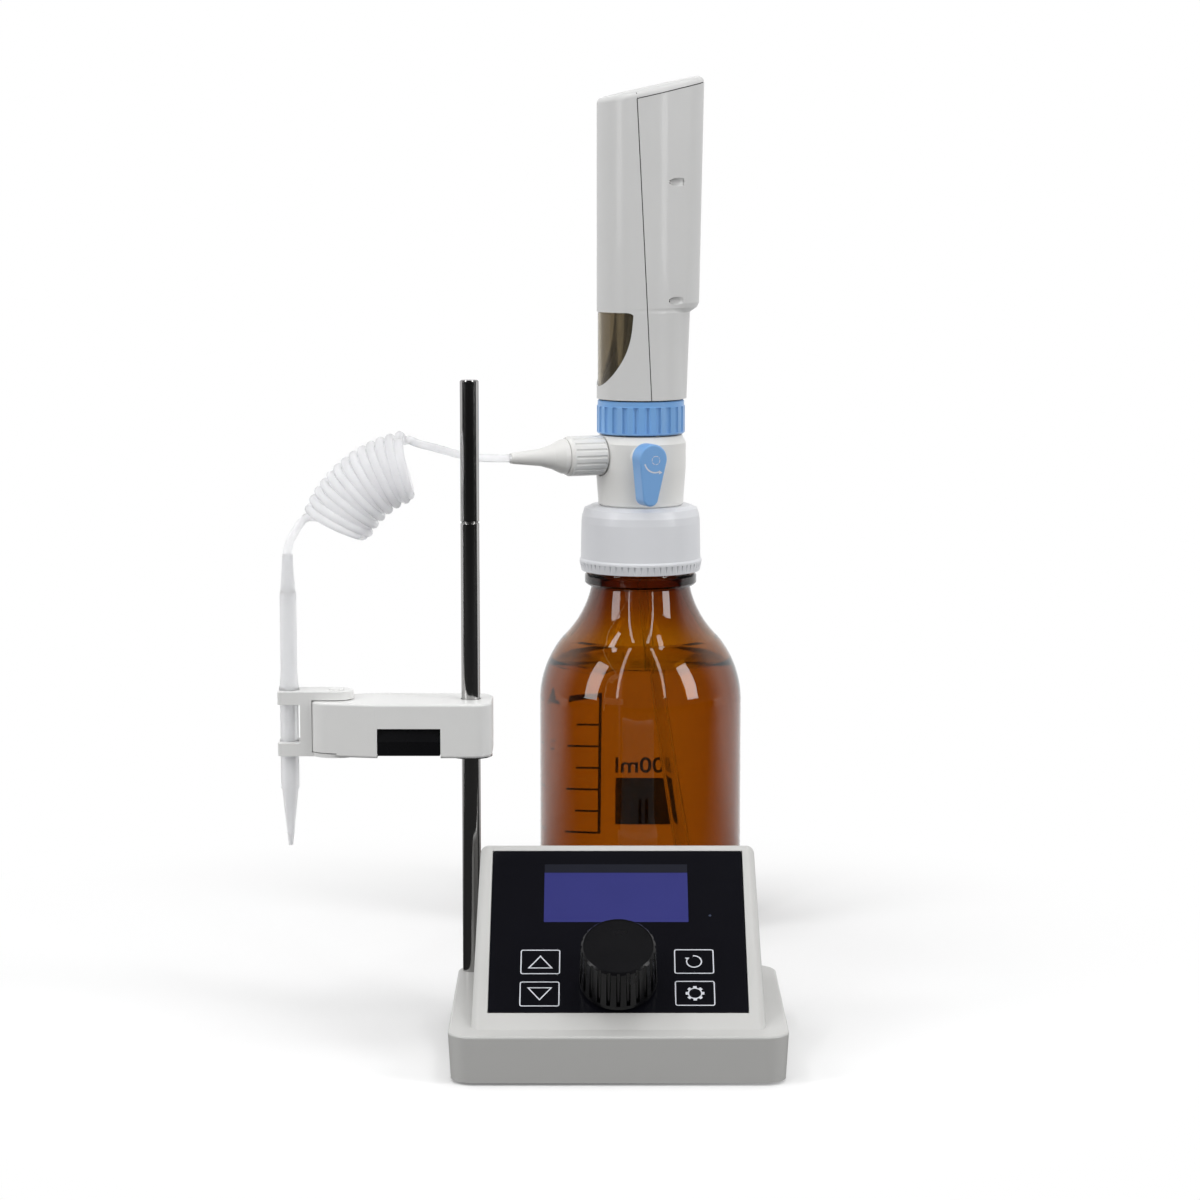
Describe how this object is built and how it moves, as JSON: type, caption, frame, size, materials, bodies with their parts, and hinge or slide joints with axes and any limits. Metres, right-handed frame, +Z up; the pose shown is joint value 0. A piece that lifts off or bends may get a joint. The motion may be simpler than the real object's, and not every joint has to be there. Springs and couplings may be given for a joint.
{
  "type": "electronic bottle-top burette",
  "caption": "Motor-driven bottle-top burette: dosing head with valve and nozzle on a screw-cap amber bottle, sloped control unit with display and knob, rod with tip arm.",
  "frame": {"origin": "bottom centre of the box around the part without its outlet tube, on the bench", "axes": "+X to the right and -Y to the viewer as the control unit faces, +Z up"},
  "size_m": [0.1875, 0.3059, 0.3583],
  "materials": {
    "white_housing": "fine moulded texture",
    "grey_cover": "satin",
    "rubber_black": "matte",
    "steel": "polished",
    "cast_weight": "rough",
    "panel_black": "gloss",
    "display_blue": "gloss",
    "board_green": "satin",
    "knob_black": "satin",
    "led_lens": "gloss",
    "clear_plastic": "gloss",
    "amber_glass": "gloss",
    "cap_white": "satin",
    "valve_white": "satin",
    "blue_plastic": "satin",
    "seal_white": "waxy",
    "smoked_window": "gloss",
    "clear_glass": "gloss",
    "aluminium_frame": "machined",
    "ceramic_ball": "gloss"
  },
  "bodies": {
    "root": {"base_tray": "white_housing", "base_cover": "grey_cover", "base_screws": "steel", "base_feet": "rubber_black", "ballast_plate": "cast_weight", "console_shell": "white_housing", "touch_panel": "panel_black", "status_led": "led_lens", "display_module": "display_blue", "control_board": "board_green", "encoder_body": "grey_cover", "rear_sockets": "rubber_black", "rod_screw": "steel", "rod_lower": "steel", "rod_upper": "steel", "bottle": "amber_glass", "cap_seal": "seal_white", "valve_block": "valve_white", "inlet_seat": "seal_white", "intake_tube": "clear_plastic", "return_tube": "clear_plastic", "nozzle_spigot": "valve_white", "nozzle_cone": "valve_white", "glass_cylinder": "clear_glass", "front_shell": "white_housing", "rear_shell": "white_housing", "window_pane": "smoked_window", "shell_screws": "steel", "lower_frame_plate": "aluminium_frame", "upper_frame_plate": "aluminium_frame", "guide_rod": "steel", "drive_motor": "grey_cover", "driver_board": "board_green", "tube_run": "clear_plastic"},
    "knob_plunger": {"encoder_plunger": "steel"},
    "knob": {"control_knob": "knob_black", "knob_cap": "knob_black"},
    "clamp": {"clamp_bush": "steel", "tube_lead": "clear_plastic"},
    "arm": {"arm_body": "white_housing", "button_springs": "steel", "yoke_pin": "white_housing", "tube_coil": "clear_plastic", "tube_drop": "clear_plastic"},
    "button": {"release_button": "knob_black"},
    "holder": {"tip_yoke": "white_housing", "tip_sleeve": "clear_plastic", "titration_tip": "clear_plastic", "tube_boot": "clear_plastic"},
    "cap": {"bottle_cap": "cap_white"},
    "ring": {"union_ring": "blue_plastic"},
    "nut": {"nozzle_nut": "valve_white"},
    "lever": {"valve_lever": "blue_plastic", "valve_plug": "seal_white"},
    "piston": {"piston_seal": "seal_white", "piston_rod": "steel", "carriage": "aluminium_frame"},
    "screw": {"lead_screw": "steel", "screw_coupling": "aluminium_frame"},
    "ball": {"inlet_ball": "ceramic_ball"}
  },
  "joints": [
    {"name": "knob_push", "type": "slide", "parent": "root", "child": "knob_plunger", "axis": [0, 0.5764, -0.8171], "range_m": [0, 0.0006], "stiffness_N_per_m": 6000, "springref_m": -0.0004},
    {"name": "knob_turn", "type": "hinge", "parent": "knob_plunger", "child": "knob", "pos_m": [0.03345, -0.12585, 0.03045], "axis": [0, -0.5764, 0.8171], "continuous": true},
    {"name": "arm_slide", "type": "slide", "parent": "root", "child": "clamp", "axis": [0, 0, 1], "range_m": [-0.025, 0.06], "deforming": ["tube_run"]},
    {"name": "arm_turn", "type": "hinge", "parent": "clamp", "child": "arm", "pos_m": [-0.02155, -0.0578, 0.102], "axis": [0, 0, 1], "range_deg": [-45, 45], "deforming": ["tube_lead"]},
    {"name": "button_push", "type": "slide", "parent": "arm", "child": "button", "axis": [0, 1, 0], "range_m": [0, 0.002], "stiffness_N_per_m": 1500, "springref_m": -0.001, "deforming": ["button_springs"]},
    {"name": "holder_turn", "type": "hinge", "parent": "arm", "child": "holder", "pos_m": [-0.07205, -0.0578, 0.1224], "axis": [0, 0, 1], "range_deg": [-45, 45], "deforming": ["tube_drop"]},
    {"name": "cap_turn", "type": "hinge", "parent": "root", "child": "cap", "pos_m": [0.04425, 0.11, 0.1506], "axis": [0, 0, 1], "continuous": true},
    {"name": "ring_turn", "type": "hinge", "parent": "root", "child": "ring", "pos_m": [0.04425, 0.11, 0.2089], "axis": [0, 0, 1], "continuous": true},
    {"name": "nut_turn", "type": "hinge", "parent": "root", "child": "nut", "pos_m": [0.02787, 0.10304, 0.2], "axis": [-0.9205, -0.3907, 0], "continuous": true},
    {"name": "lever_turn", "type": "hinge", "parent": "root", "child": "lever", "pos_m": [0.04611, 0.0895, 0.2], "axis": [0.3907, -0.9205, 0], "range_deg": [0, 90]},
    {"name": "piston_stroke", "type": "slide", "parent": "root", "child": "piston", "axis": [0, 0, 1], "range_m": [0, 0.048]},
    {"name": "screw_spin", "type": "hinge", "parent": "root", "child": "screw", "pos_m": [0.05638, 0.11302, 0.274], "axis": [0, 0, 1], "range_deg": [0, 2880]},
    {"name": "ball_lift", "type": "slide", "parent": "root", "child": "ball", "axis": [0, 0, 1], "range_m": [0, 0.0008]}
  ],
  "couplings": [
    {"joint": "screw_spin", "follows": "piston_stroke", "rad_per_m": 1047.2}
  ]
}
